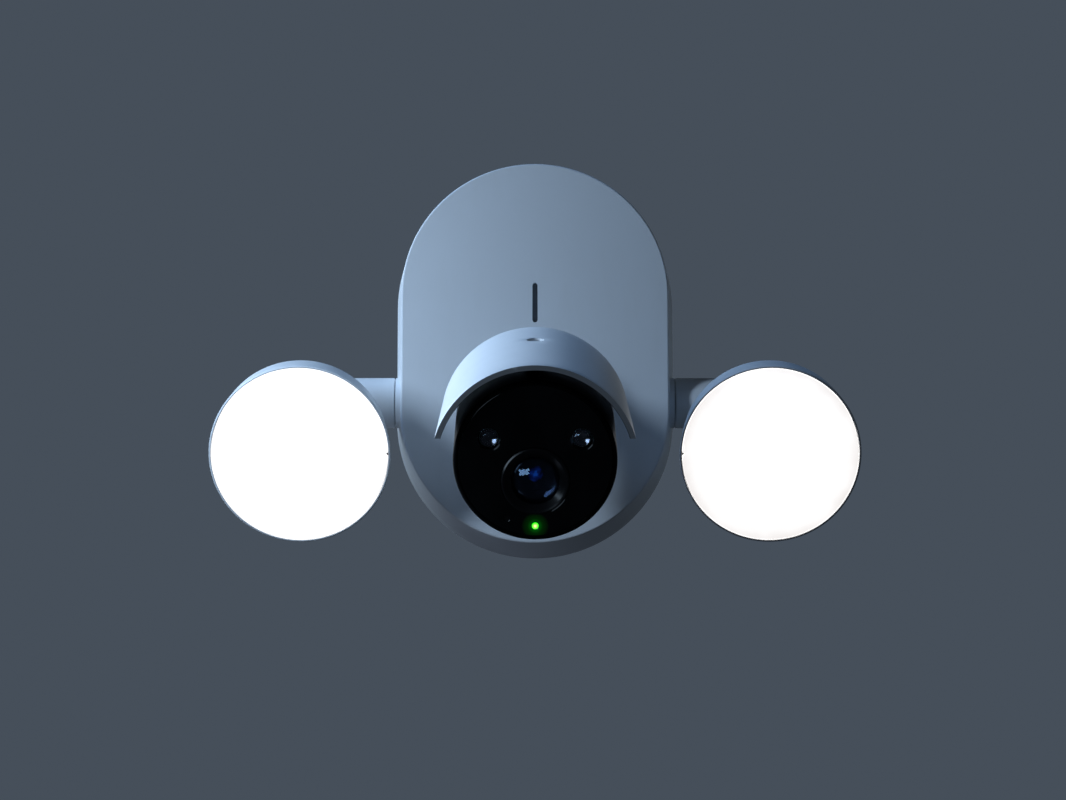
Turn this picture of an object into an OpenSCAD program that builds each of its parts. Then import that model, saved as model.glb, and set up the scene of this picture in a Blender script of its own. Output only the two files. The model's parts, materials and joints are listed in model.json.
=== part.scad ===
// Floodlight security camera for a wall or a junction box.
// Two round lamps on side arms and a bullet camera with a visor stand on a pill-shaped base.
// Frame: +Z up, the front faces -Y, the wall is the plane Y = 0, millimetres.

/* [Base] */
// Width of the base at its back rim
base_w = 120; // [110:1:130]
// Height of the base at its back rim
base_h = 170; // [160:1:180]
// Depth of the base in front of the wall
base_d = 35; // [33:0.5:38]
// Wall thickness of the base shell
base_wall = 2.5; // [2:0.1:3]
// Inward slope of the side wall from the back rim to the front
base_draft = 2.7; // [1.5:0.1:3.2]
// Radius of the rounded front edge
base_edge_r = 0.8; // [0.5:0.1:1.5]
// Height of the middle of the sound slot
slot_z = 21.5; // [18:0.5:26]
// Length of the sound slot
slot_len = 17.3; // [12:0.1:20]
// Width of the sound slot
slot_w = 2.2; // [1.6:0.1:3]

/* [Arms] */
// Height of the arm axis, below the middle of the base
arm_z = -19.6; // [-22:0.1:-17]
// Depth of the arm axis in front of the wall
arm_depth = 18.5; // [18:0.1:19.5]
// Radius of the visible arm tube
arm_r = 10.8; // [10:0.1:11.5]
// Radius of the arm journal that turns in the base
journal_r = 8; // [7.5:0.1:8.2]

/* [Lamps] */
// Distance of each lamp axis from the middle
lamp_x = 98.3; // [98:0.1:104]
// Tilt of the lamps below level
lamp_tilt = 23; // [15:1:30]
// Distance of the lamp front from the arm axis
lamp_reach = 54.5; // [54:0.5:60]
// Drop of the lamp axis below the arm axis
lamp_drop = 8.5; // [6:0.1:10]
// Radius of the lamp housing at its front rim
lamp_r = 38; // [37:0.1:38.2]
// Depth of the lamp housing
lamp_depth = 24; // [22:0.5:24]
// Radius of the diffuser
diffuser_r = 36.9; // [35:0.1:36.9]

/* [Camera head] */
// Depth of the pan and tilt axes in front of the wall
pivot_depth = 50; // [48:0.5:54]
// Height of the tilt axis
pivot_z = -20.3; // [-23:0.1:-18]
// Tilt of the camera below level
head_tilt = 23; // [10:1:35]
// Radius of the camera body
head_r = 32.5; // [31:0.1:33.5]
// Distance of the camera face from the tilt axis
face_t = 110.7; // [105:0.1:115]
// Radius of the front window
window_r = 30.65; // [29.5:0.05:30.8]
// Drop of the lens below the camera axis
lens_drop = 8.4; // [7:0.1:9]
// Radius of the domed front lens
lens_r = 9.6; // [8.5:0.1:9.7]
// Sideways distance of each infrared lamp from the camera axis
ir_x = 18.3; // [17.5:0.1:19]
// Rise of the infrared lamps above the camera axis
ir_up = 8.8; // [8:0.1:10]

/* [Visor] */
// Distance of the visor front edge from the tilt axis
visor_front_t = 124.4; // [118:0.1:128]
// Length of the visor
visor_len = 77.9; // [60:0.1:80]
// Outer radius of the visor at its front
visor_front_r = 40.9; // [40:0.1:42]
// Outer radius of the visor at its back
visor_back_r = 38.3; // [37.5:0.1:39]
// Thickness of the visor
visor_wall = 2.2; // [1.8:0.1:2.6]
// Rise of the visor axis above the camera axis
visor_up = 1; // [0.5:0.1:2]

/* [Wall bracket] */
// Spacing of the two slots for a 4 inch box
box_spacing = 88.9; // [88:0.1:90]
// Spacing of the two slots for a small box
small_box_spacing = 69.9; // [69:0.1:71]
// Thickness of the bracket plate
bracket_t = 1.6; // [1.2:0.1:2]

/* [Hidden] */
$fn = 96;
// Pill outline: two half rounds joined by straight sides
pill_r = base_w / 2;
pill_s = base_h / 2 - pill_r;
gasket_t = 1.4;
shell_inner_r = pill_r - base_wall - 0.2;
plate_back = 4.2;
plate_t = 2;
plate_front = plate_back + plate_t;
plate_r = shell_inner_r - 0.8;
post_x = 40;
post_z = 45;
post_r = 4;
plate_screw_r = 1.25;
cable_z = 16;
cable_bore_r = 4.5;
hook_z = -58;
hook_lip = 5;
tongue_end_z = 77.2;
lock_depth = 7;
lock_r = 1.6;
bracket_r = 51.5;
slot_r = 2.4;
box_slot_len = 9;
// Inner faces of the sound slot parts
front_inner = base_d - base_wall;
mesh_t = 0.6;
speaker_r = 13;
speaker_t = 7.5;
// Power supply
board_w = 68;
board_z0 = 34;
board_z1 = 66;
board_back = 9;
pcb_t = 1.6;
// Arm stack along X, measured from the middle of the base
running = 0.05;
nut_in = 37.2;
nut_t = 5.3;
washer_in = 42.7;
washer_t = 1.4;
boss_in = 44.2;
boss_r = 10.5;
collar_out = 59.9;
seal_in = 57.8;
seal_out = 60.1;
seal_r = 9.5;
shoulder = 60.2;
arm_end_in = 36;
thread_r = 6;
arm_bore_r = 4.5;
// Lamp swivel
swivel_t = 21.5;
swivel_pin_r = 2.5;
knuckle_r = 7.5;
tongue_half = 4.5;
ear_in = 4.8;
ear_t = 4.2;
// Lamp inside, depths behind the diffuser face
rim_bore_r = diffuser_r + 0.25;
seat_depth = 3.2;
seal_t = 0.8;
floor_depth = 21;
led_board_r = 30.5;
led_board_back = 18;
// Camera joint
pan_pin_r = 3;
tilt_pin_r = 3;
fork_in = 8.3;
fork_t = 4;
block_r = 7.6;
socket_r = 17;
socket_t = 2.5;
// Camera head inside, distances from the tilt axis
head_back_t = 20;
head_back_r = 13;
shoulder_t = 42;
joint_t = 62;
barrel_bore_r = 29.2;
window_t = 2.1;
window_gasket_t = 0.6;
ir_r = 4.5;
lens_ring_r = 13.5;
screw_t = 73;
status_drop = 26.7;
sensor_x = -11.3;
sensor_drop = 23.5;
ir_board_t = 102.6;
visor_back_t = visor_front_t - visor_len;
visor_end_angle = 73.6;
visor_back_rise = 0.8;
visor_top = visor_up + visor_back_r + (visor_front_r - visor_back_r) * (screw_t - visor_back_t) / visor_len;
screw_sink = 2.6;
// Setup button under the camera
button_t = 51;
button_r = 3.42;
button_sink = 0.3;

// Points of an arc about [cx, cy], from angle a0 to a1, with separate radii along x and y
function arc(cx, cy, rx, ry, a0, a1, n = 8) =
    [for (i = [0:n]) let (a = a0 + (a1 - a0) * i / n) [cx + rx * cos(a), cy + ry * sin(a)]];

// Distance of the base's top and bottom from the middle, at a depth in front of the wall
function half_height(depth) =
    pill_s + pill_r - base_draft * (depth - gasket_t) / (base_d - base_edge_r - gasket_t);

// Frames. In the base frame the height is up and the third axis is the depth in front of the wall
module base_frame() {
    rotate([90, 0, 0]) children();
}

// Third axis points up out of the base's top, at the locking screw
module lock_frame() {
    translate([0, -lock_depth, half_height(lock_depth)]) children();
}

// Third axis runs outwards along an arm; side is -1 on the left and 1 on the right
module arm_frame(side) {
    translate([0, -arm_depth, arm_z]) rotate([0, 90 * side, 0]) children();
}

// Third axis points out of the lamp, second axis up, origin on the arm axis
module lamp_frame(side) {
    translate([side * lamp_x, -arm_depth, arm_z]) rotate([90 + lamp_tilt, 0, 0]) children();
}

// The same, with its origin at the middle of the diffuser face
module lamp_face_frame(side) {
    lamp_frame(side) translate([0, -lamp_drop, lamp_reach]) children();
}

// Third axis runs forwards along the camera, second axis up, origin on the tilt axis
module head_frame() {
    translate([0, -pivot_depth, pivot_z]) rotate([90 + head_tilt, 0, 0]) children();
}

// Solid with a pill outline; the profile gives [distance from the outline's middle line, depth]
module pill(profile) {
    translate([0, pill_s, 0]) rotate_extrude(angle = 180) polygon(profile);
    translate([0, -pill_s, 0]) rotate([0, 0, 180]) rotate_extrude(angle = 180) polygon(profile);
    rotate([90, 0, 0]) linear_extrude(2 * pill_s, center = true) {
        polygon(profile);
        mirror([1, 0]) polygon(profile);
    }
}

module flat_pill(r, back, front) {
    pill([[0, back], [r, back], [r, front], [0, front]]);
}

module ring(r_out, r_in, h) {
    difference() {
        cylinder(r = r_out, h = h);
        translate([0, 0, -1]) cylinder(r = r_in, h = h + 2);
    }
}

// Slot cutter along the first axis
module slot(r, length, h) {
    half = length / 2 - r;
    for (s = [-1, 1]) translate([s * half, 0, 0]) cylinder(r = r, h = h);
    translate([-half, -r, 0]) cube([2 * half, 2 * r, h]);
}

// Screw with its head at the origin, head towards +Z, shank towards -Z
module screw(head_r, head_h, shank_r, shank_l, key_r) {
    difference() {
        union() {
            cylinder(r = head_r, h = head_h);
            translate([0, 0, -shank_l]) cylinder(r = shank_r, h = shank_l + 0.1);
        }
        translate([0, 0, head_h * 0.4]) cylinder(r = key_r, h = head_h, $fn = 6);
    }
}

// Flat knuckle plate, round about the origin, with a straight tail towards +Y of the 2D outline
module knuckle_outline(r, half_w, tail) {
    circle(r = r);
    translate([-half_w, 0]) square([2 * half_w, tail]);
}

// ---- Base ----

module bracket_plate() {
    difference() {
        union() {
            cylinder(r = bracket_r, h = bracket_t);
            translate([-14, hook_z - bracket_t, 0]) cube([28, bracket_t - hook_z, bracket_t]);
            translate([-9, 0, 0]) cube([18, tongue_end_z, bracket_t]);
        }
        for (s = [-1, 1]) {
            translate([s * box_spacing / 2, 0, -1]) slot(slot_r, box_slot_len, 4);
            translate([0, s * small_box_spacing / 2, -1]) rotate([0, 0, 90]) slot(slot_r, box_slot_len, 4);
        }
        translate([0, cable_z, -1]) cylinder(r = 11, h = 4);
        translate([0, -cable_z, -1]) cylinder(r = 9, h = 4);
    }
}

module wall_bracket() color("silver") base_frame() {
    lip_depth = plate_front + 0.5;
    bracket_plate();
    for (s = [-1, 1]) translate([s * 9 - 4, hook_z - bracket_t, 0]) {
        cube([8, bracket_t, lip_depth + bracket_t]);
        translate([0, 0, lip_depth]) cube([8, hook_lip, bracket_t]);
    }
    difference() {
        translate([-7, tongue_end_z - bracket_t, 0]) cube([14, bracket_t, lock_depth + 5]);
        translate([0, tongue_end_z - 3, lock_depth]) rotate([-90, 0, 0]) cylinder(r = lock_r, h = 4);
    }
}

module wall_gasket() color("dimgray") base_frame() difference() {
    flat_pill(pill_r - 1.5, 0, gasket_t);
    flat_pill(pill_r - 6.8, -1, gasket_t + 1);
}

module back_plate() color("gainsboro") base_frame() {
    difference() {
        flat_pill(plate_r, plate_back, plate_front);
        translate([0, cable_z, 0]) cylinder(r = 8, h = 12);
        for (s = [-1, 1]) {
            translate([s * 9 - 4.6, hook_z + 0.1 - hook_lip - 1.4, 0]) cube([9.2, hook_lip + 1.4, 12]);
            for (t = [-1, 1]) translate([s * post_x, t * post_z, 0]) cylinder(r = 1.5, h = 12);
        }
        translate([-9, 74, 0]) cube([18, 16, 12]);
    }
    for (x = [-29, 29], z = [board_z0 + 4, board_z1 - 4]) {
        translate([x, z, plate_front]) cylinder(r = 2.5, h = board_back - plate_front);
    }
}

module plate_screws() color("silver") base_frame() {
    for (x = [-post_x, post_x], z = [-post_z, post_z]) {
        translate([x, z, plate_back]) rotate([180, 0, 0]) screw(3, 1.8, plate_screw_r, 9, 1.3);
    }
}

module plate_seal() color("black") base_frame() difference() {
    flat_pill(shell_inner_r - 1, plate_front, plate_front + 1.2);
    flat_pill(shell_inner_r - 2.6, plate_front - 1, plate_front + 2);
    translate([-6, 74, plate_front - 1]) cube([12, 16, 4]);
}

module base_outer() {
    r_front = pill_r - base_draft;
    edge = arc(r_front - base_edge_r, base_d - base_edge_r, base_edge_r, base_edge_r, 0, 90, 8);
    pill(concat([[0, gasket_t], [pill_r, gasket_t]], edge, [[0, base_d]]));
}

module base_inner() {
    r_front = shell_inner_r - base_draft;
    pill([[0, 0], [shell_inner_r, 0], [r_front, front_inner - 1.5], [r_front - 1.5, front_inner],
        [0, front_inner]]);
}

module base_shell() color("whitesmoke") difference() {
    union() {
        base_frame() {
            difference() {
                base_outer();
                base_inner();
            }
            for (x = [-post_x, post_x], z = [-post_z, post_z]) {
                translate([x, z, plate_front]) cylinder(r = post_r, h = front_inner - plate_front + 0.5);
            }
        }
        for (s = [-1, 1]) arm_frame(s) {
            translate([0, 0, boss_in]) cylinder(r = boss_r, h = 12.5);
            translate([0, 0, boss_in + 11]) cylinder(r = arm_r, h = collar_out - boss_in - 11);
        }
        lock_frame() translate([0, 0, -5.3]) cylinder(r = 5, h = 4.2);
    }
    base_frame() {
        for (x = [-post_x, post_x], z = [-post_z, post_z]) {
            translate([x, z, plate_front - 1]) cylinder(r = plate_screw_r, h = 11);
        }
        translate([0, slot_z, front_inner - 1]) rotate([0, 0, 90]) slot(slot_w / 2, slot_len, 6);
        for (s = [-1, 1]) translate([s * 11, pivot_z, front_inner - 1]) cylinder(r = 1.7, h = 6);
        translate([0, pivot_z, front_inner - 1]) cylinder(r = 4, h = 6);
    }
    for (s = [-1, 1]) arm_frame(s) {
        translate([0, 0, boss_in - 1]) cylinder(r = journal_r + running, h = 20);
        translate([0, 0, seal_in]) cylinder(r = seal_r + 0.1, h = 6);
    }
    lock_frame() {
        translate([0, 0, -9]) cylinder(r = lock_r + 0.4, h = 10);
        translate([0, 0, -2.5]) cylinder(r = 3.4, h = 3.5);
    }
}

module slot_mesh() color("black") base_frame() {
    translate([-3.5, slot_z - 11, front_inner - mesh_t]) cube([7, 22, mesh_t]);
}

module speaker() color("dimgray") base_frame() translate([0, slot_z, front_inner - mesh_t - speaker_t]) {
    cylinder(r = 8, h = speaker_t);
    translate([0, 0, speaker_t - 3]) cylinder(r = speaker_r, h = 3);
}

module power_board() color("green") base_frame() {
    translate([-board_w / 2, board_z0, board_back]) cube([board_w, board_z1 - board_z0, pcb_t]);
}

module power_parts() color("gold") base_frame() translate([0, 0, board_back + pcb_t]) {
    translate([-10, board_z0 + 6, 0]) cube([22, 20, 15]);
    for (i = [0:2]) translate([-26 + 0.5 * i, board_z0 + 6 + 11 * i, 0]) cylinder(r = 4.5, h = 14);
    for (i = [0:1]) translate([19, board_z0 + 4 + 13 * i, 0]) cube([9, 9, 8]);
}

module terminal_block() color("ivory") base_frame() difference() {
    translate([-15, -10, plate_front]) cube([30, 11, 12]);
    for (x = [-10, 0, 10]) {
        translate([x, -1, plate_front + 6]) rotate([-90, 0, 0]) cylinder(r = 2, h = 4);
        translate([x, -5, plate_front + 7]) cylinder(r = 1.8, h = 8);
    }
}

module cable_grommet() color("black") base_frame() translate([0, cable_z, 0]) {
    profile = [[cable_bore_r, plate_back - 1.2], [10, plate_back - 1.2], [10, plate_back], [8, plate_back],
        [8, plate_front], [10, plate_front], [10, plate_front + 1.2], [cable_bore_r, plate_front + 1.2]];
    rotate_extrude() polygon(profile);
}

module lock_screw() color("silver") lock_frame() translate([0, 0, -2.5]) {
    screw(3, 2.4, lock_r, 7.5, 1.3);
}

module camera_socket() color("whitesmoke") difference() {
    union() {
        base_frame() translate([0, pivot_z, base_d]) {
            cylinder(r = socket_r, h = socket_t - 0.8);
            translate([0, 0, socket_t - 0.8]) cylinder(r1 = socket_r, r2 = socket_r - 0.8, h = 0.8);
        }
        for (z = [fork_in, -fork_in - fork_t]) translate([0, -pivot_depth, pivot_z + z]) {
            linear_extrude(fork_t) knuckle_outline(8, 7, pivot_depth - base_d - 1);
        }
    }
    translate([0, -pivot_depth, pivot_z - 20]) cylinder(r = pan_pin_r + running, h = 40);
    base_frame() {
        for (s = [-1, 1]) translate([s * 11, pivot_z, base_d - 1]) cylinder(r = 1.4, h = 3);
        translate([0, pivot_z, base_d - 1]) cylinder(r = 4, h = 6);
    }
}

module socket_screws() color("silver") base_frame() {
    for (s = [-1, 1]) translate([s * 11, pivot_z, front_inner]) rotate([180, 0, 0]) {
        screw(2.9, 1.6, 1.4, 4.2, 1.2);
    }
}

// ---- Arms ----

module arm(side) color("whitesmoke") difference() {
    union() {
        arm_frame(side) rotate_extrude() polygon(concat(
            [[0, arm_end_in], [thread_r, arm_end_in], [thread_r, nut_in + nut_t + 0.1],
                [journal_r, nut_in + nut_t + 0.1], [journal_r, shoulder], [arm_r - 0.5, shoulder],
                [arm_r, shoulder + 0.5]],
            arc(0, lamp_x, arm_r, arm_r, 0, 90, 12)));
        lamp_frame(side) {
            translate([0, 0, 2]) cylinder(r1 = 9.4, r2 = 7.6, h = 10.2);
            translate([0, 0, swivel_t]) rotate([-90, 0, 0]) linear_extrude(2 * tongue_half, center = true) {
                knuckle_outline(knuckle_r, 6.5, swivel_t - 9);
            }
        }
    }
    arm_frame(side) translate([0, 0, arm_end_in - 1]) cylinder(r = arm_bore_r, h = lamp_x - arm_end_in + 1);
    lamp_frame(side) translate([0, 0, swivel_t]) rotate([90, 0, 0]) {
        cylinder(r = swivel_pin_r + running, h = 30, center = true);
    }
}

module arm_locknut(side) color("silver") arm_frame(side) translate([0, 0, nut_in]) difference() {
    cylinder(r = 10.6, h = nut_t, $fn = 6);
    translate([0, 0, -1]) cylinder(r = thread_r, h = nut_t + 2);
}

module arm_washer(side) color("dimgray") arm_frame(side) {
    translate([0, 0, washer_in]) ring(boss_r, journal_r + 0.2, washer_t);
}

module arm_seal(side) color("black") arm_frame(side) {
    translate([0, 0, seal_in]) ring(seal_r, journal_r + 0.1, seal_out - seal_in);
}

module pivot_pin(side) color("silver") lamp_frame(side) translate([0, ear_in + ear_t, swivel_t]) {
    rotate([-90, 0, 0]) screw(4.2, 2, swivel_pin_r, 2 * (ear_in + ear_t), 1.7);
}

// ---- Lamps ----

module housing_outer() {
    back_flat_r = 26;
    bend = 8.5;
    rotate_extrude() polygon(concat(
        [[0, 0], [lamp_r - 0.4, 0], [lamp_r, -0.4]],
        arc(back_flat_r, bend - lamp_depth, lamp_r - 1.4 - back_flat_r, bend, 0, -90, 10),
        [[0, -lamp_depth]]));
}

module housing_cavity() {
    rotate_extrude() polygon([[0, 1], [rim_bore_r, 1], [rim_bore_r, -seat_depth], [34.3, -seat_depth],
        [33.4, -15.5], [32.2, -19], [29, -floor_depth], [0, -floor_depth]]);
}

module lamp_housing(side) color("whitesmoke") difference() {
    union() {
        lamp_face_frame(side) {
            difference() {
                housing_outer();
                housing_cavity();
            }
            translate([0, 0, -floor_depth - 0.5]) cylinder(r = 25, h = floor_depth - led_board_back + 0.5);
            for (s = [-1, 1], i = [0:2]) {
                fin_x = 12 + 5 * i;
                fin_half = sqrt(25 * 25 - fin_x * fin_x);
                translate([s * fin_x - 0.8, -fin_half, -lamp_depth - 3.4]) cube([1.6, 2 * fin_half, 4.4]);
            }
        }
        lamp_frame(side) for (s = [-1, 1]) translate([0, s * (ear_in + ear_t / 2), swivel_t]) {
            rotate([90, 0, 0]) linear_extrude(ear_t, center = true) {
                knuckle_outline(knuckle_r, 6.5, lamp_reach - lamp_depth - swivel_t + 1.5);
            }
        }
    }
    lamp_frame(side) translate([0, 0, swivel_t]) rotate([90, 0, 0]) {
        cylinder(r = swivel_pin_r, h = 30, center = true);
    }
}

module led_board(side) color("white") lamp_face_frame(side) {
    translate([0, 0, -led_board_back]) cylinder(r = led_board_r, h = pcb_t);
}

module led_chips(side) color("gold") lamp_face_frame(side) translate([0, 0, pcb_t - led_board_back]) {
    for (row = [1:3], i = [0:6 * row - 1]) {
        rotate([0, 0, 60 * i / row]) translate([9 * row - 1.5, -1.5, 0]) cube([3, 3, 0.8]);
    }
}

module reflector(side) color("white") lamp_face_frame(side) {
    z0 = pcb_t - led_board_back + 0.05;
    z1 = -seat_depth;
    rotate_extrude() polygon([[29.4, z0], [30.2, z0], [34, z1], [33.2, z1]]);
}

module diffuser(side) color("white") lamp_face_frame(side) difference() {
    z_back = seal_t - seat_depth;
    rotate_extrude() polygon(concat(
        [[0, z_back], [diffuser_r, z_back]], arc(diffuser_r - 0.6, -0.6, 0.6, 0.6, 0, 90, 4), [[0, 0]]));
    translate([-side * diffuser_r, 0, 0]) cylinder(r = 0.8, h = 5, center = true);
}

module lamp_seal(side) color("black") lamp_face_frame(side) {
    translate([0, 0, -seat_depth]) ring(diffuser_r - 0.1, 34.5, seal_t);
}

// ---- Camera joint ----

module pan_block() color("silver") translate([0, -pivot_depth, pivot_z]) difference() {
    cylinder(r = block_r, h = 2 * fork_in - 0.6, center = true);
    cylinder(r = pan_pin_r, h = 40, center = true);
    rotate([0, 90, 0]) cylinder(r = tilt_pin_r + running, h = 40, center = true);
}

module pan_pins() color("silver") translate([0, -pivot_depth, pivot_z]) {
    for (a = [0, 180]) rotate([a, 0, 0]) translate([0, 0, fork_in + fork_t + 0.2]) {
        screw(4.8, 2, pan_pin_r, fork_in + fork_t + 0.2 - 4.6, 1.9);
    }
}

module tilt_pin() color("silver") translate([fork_in + fork_t, -pivot_depth, pivot_z]) {
    rotate([0, 90, 0]) screw(4.6, 2, tilt_pin_r, 2 * (fork_in + fork_t), 1.9);
}

// ---- Camera head ----

module rear_shell() color("whitesmoke") head_frame() difference() {
    wall = 2.2;
    round_r = head_r - head_back_r;
    round_t = shoulder_t - head_back_t;
    back = arc(head_back_r, shoulder_t, round_r, round_t, -90, 0, 12);
    inside = arc(head_back_r, shoulder_t, round_r - wall, round_t - wall, -90, 0, 12);
    union() {
        difference() {
            rotate_extrude() polygon(concat([[0, head_back_t]], back, [[head_r, joint_t], [0, joint_t]]));
            rotate_extrude() polygon(concat([[0, head_back_t + wall]], inside,
                [[head_r - wall, joint_t + 1], [0, joint_t + 1]]));
        }
        for (s = [-1, 1]) translate([s * (fork_in + fork_t / 2), 0, 0]) {
            rotate([0, 90, 0]) rotate([0, 0, 90]) linear_extrude(fork_t, center = true) {
                knuckle_outline(6.5, 5.8, head_back_t + 1.5);
            }
        }
    }
    rotate([0, 90, 0]) cylinder(r = tilt_pin_r, h = 40, center = true);
    translate([0, -head_r - 1, button_t]) rotate([-90, 0, 0]) cylinder(r = button_r + 0.08, h = 6);
}

// Pushed up from below against a switch on the main board
module setup_button() color("gray") head_frame() {
    translate([0, button_sink - head_r, button_t]) rotate([-90, 0, 0]) {
        cylinder(r = button_r, h = 4.7);
        translate([0, 0, 2.35]) cylinder(r = 4.6, h = 1.2);
        cylinder(r = 1.6, h = head_r - button_sink - 16.8);
    }
}

module barrel() color("black") head_frame() difference() {
    lap_r = head_r - 2.3;
    seat = face_t - window_t - window_gasket_t;
    rotate_extrude() polygon(concat(
        [[barrel_bore_r - 0.2, joint_t - 5], [lap_r, joint_t - 5], [lap_r, joint_t + 0.1],
            [head_r - 0.3, joint_t + 0.1], [head_r, joint_t + 0.5]],
        arc(head_r - 1.2, face_t - 1.2, 1.2, 1.2, 0, 90, 6),
        [[window_r + 0.1, face_t], [window_r + 0.1, seat], [barrel_bore_r - 0.2, seat]]));
    translate([0, 0, screw_t]) rotate([-90, 0, 0]) cylinder(r = 1.5, h = 50);
}

module front_window() color([0.03, 0.03, 0.035]) head_frame() difference() {
    back = face_t - window_t;
    front = face_t - 0.05;
    rotate_extrude() polygon(concat([[0, back], [window_r, back]],
        arc(window_r - 0.4, front - 0.4, 0.4, 0.4, 0, 90, 3), [[0, front]]));
    translate([0, -lens_drop, back - 1]) cylinder(r = lens_ring_r + 0.1, h = 5);
    for (s = [-1, 1]) translate([s * ir_x, ir_up, back - 1]) cylinder(r = ir_r + 0.05, h = 5);
    translate([0, -status_drop, back - 1]) cylinder(r = 1.35, h = 5);
    translate([sensor_x, -sensor_drop, back - 1]) cylinder(r = 1.25, h = 5);
}

module window_gasket() color("black") head_frame() {
    translate([0, 0, face_t - window_t - window_gasket_t]) {
        ring(window_r, barrel_bore_r + 0.1, window_gasket_t);
    }
}

module lens_ring() color("black") head_frame() translate([0, -lens_drop, 0]) {
    rotate_extrude() polygon([[lens_r + 0.2, 106], [lens_ring_r, 106], [lens_ring_r, face_t + 0.3],
        [lens_ring_r - 0.6, face_t + 0.6], [12.2, face_t + 0.4], [lens_r + 0.2, face_t - 1.2]]);
}

module lens_barrel() color("black") head_frame() translate([0, -lens_drop, 0]) {
    rotate_extrude() polygon([[7.2, 84], [11, 84], [11, 92], [12.6, 92], [12.6, 105.9], [lens_r + 0.2, 105.9],
        [lens_r + 0.2, 104.4], [7.2, 104.4]]);
}

module front_lens() color("midnightblue") head_frame() translate([0, -lens_drop, 0]) {
    dome_r = 14;
    edge_t = face_t - 2.2;
    half = asin(lens_r / dome_r);
    rotate_extrude() polygon(concat([[0, 106.2], [lens_r, 106.2]],
        arc(0, edge_t - dome_r * cos(half), dome_r, dome_r, 90 - half, 90, 10)));
}

module rear_lens() color("steelblue") head_frame() translate([0, -lens_drop, 0]) {
    rotate_extrude() polygon([[0, 97], [5, 97.4], [7.1, 98.6], [7.1, 100], [5, 101.2], [0, 101.8]]);
}

module sensor_board() color("green") head_frame() {
    translate([-13, -lens_drop - 13, 80.6]) cube([26, 26, 1.2]);
}

module image_sensor() color("dimgray") head_frame() {
    translate([-4.5, -lens_drop - 4.5, 81.8]) cube([9, 9, 1.4]);
}

module ir_board() color("darkgreen") head_frame() difference() {
    translate([0, 0, ir_board_t]) cylinder(r = 28.5, h = 1.2);
    translate([0, -lens_drop, ir_board_t - 1]) cylinder(r = lens_ring_r + 0.5, h = 4);
}

module ir_leds() color("silver") head_frame() for (s = [-1, 1]) {
    translate([s * ir_x - 1.8, ir_up - 1.8, ir_board_t + 1.2]) cube([3.6, 3.6, 1.4]);
    translate([s * ir_x, ir_up, ir_board_t + 2.6]) cylinder(r = 1.4, h = 0.7);
}

module ir_lenses() color("lightgray") head_frame() for (s = [-1, 1]) translate([s * ir_x, ir_up, 0]) {
    front = face_t - 0.7;
    rotate_extrude() polygon(concat([[2, 107], [ir_r, 107], [ir_r, front]],
        arc(0, front - 1.2, 3.4, 1.5, 0, 90, 8), [[0, 107.8], [2, 107.8]]));
}

module status_light() color("lime") head_frame() {
    translate([0, -status_drop, ir_board_t + 1.2]) cylinder(r = 1.3, h = face_t - ir_board_t - 1.2);
}

module light_sensor() color("dimgray") head_frame() {
    translate([sensor_x, -sensor_drop, ir_board_t + 1.2]) cylinder(r = 1.2, h = face_t - ir_board_t - 1.4);
}

module main_board() color("green") head_frame() {
    translate([-23, -16, 44]) cube([46, pcb_t, 34]);
}

module camera_heat_sink() color("silver") head_frame() translate([-12, -16 + pcb_t, 50]) {
    cube([24, 2, 22]);
    for (i = [0:5]) translate([4.4 * i, 1.5, 0]) cube([2, 8, 22]);
}

// Shell of the visor, with both lower edges rising towards the front
module visor_shell() {
    cut_rise = visor_front_r * cos(visor_end_angle) - visor_back_rise;
    cut_angle = atan(cut_rise / visor_len);
    difference() {
        rotate_extrude(angle = 180) polygon([[visor_back_r - visor_wall, visor_back_t],
            [visor_back_r, visor_back_t], [visor_front_r, visor_front_t],
            [visor_front_r - visor_wall, visor_front_t]]);
        translate([-60, visor_back_rise, visor_back_t]) rotate([-cut_angle, 0, 0]) {
            translate([0, -30, -30]) cube([120, 30, 150]);
        }
    }
}

module visor() color("whitesmoke") head_frame() difference() {
    union() {
        translate([0, visor_up, 0]) visor_shell();
        translate([0, head_r - 0.4, screw_t]) rotate([-90, 0, 0]) {
            cylinder(r = 5, h = visor_top - head_r - 0.6);
        }
    }
    cylinder(r = head_r + 0.05, h = face_t);
    translate([0, 20, screw_t]) rotate([-90, 0, 0]) cylinder(r = 1.7, h = 30);
    translate([0, visor_top - screw_sink, screw_t]) rotate([-90, 0, 0]) cylinder(r = 3.5, h = 10);
}

module visor_screw() color("silver") head_frame() {
    translate([0, visor_top - screw_sink, screw_t]) rotate([-90, 0, 0]) screw(3.2, 1.6, 1.5, 8, 1.3);
}

wall_bracket();
wall_gasket();
back_plate();
plate_screws();
plate_seal();
base_shell();
slot_mesh();
speaker();
power_board();
power_parts();
terminal_block();
cable_grommet();
lock_screw();
camera_socket();
socket_screws();
setup_button();
arm(-1);  // left_arm
arm_locknut(-1);  // left_arm_locknut
arm_washer(-1);  // left_arm_washer
arm_seal(-1);  // left_arm_seal
pivot_pin(-1);  // left_pivot_pin
lamp_housing(-1);  // left_lamp_housing
led_board(-1);  // left_led_board
led_chips(-1);  // left_led_chips
reflector(-1);  // left_reflector
diffuser(-1);  // left_diffuser
lamp_seal(-1);  // left_lamp_seal
arm(1);  // right_arm
arm_locknut(1);  // right_arm_locknut
arm_washer(1);  // right_arm_washer
arm_seal(1);  // right_arm_seal
pivot_pin(1);  // right_pivot_pin
lamp_housing(1);  // right_lamp_housing
led_board(1);  // right_led_board
led_chips(1);  // right_led_chips
reflector(1);  // right_reflector
diffuser(1);  // right_diffuser
lamp_seal(1);  // right_lamp_seal
pan_block();
pan_pins();
tilt_pin();
rear_shell();
barrel();
front_window();
window_gasket();
lens_ring();
lens_barrel();
front_lens();
rear_lens();
sensor_board();
image_sensor();
ir_board();
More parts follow.
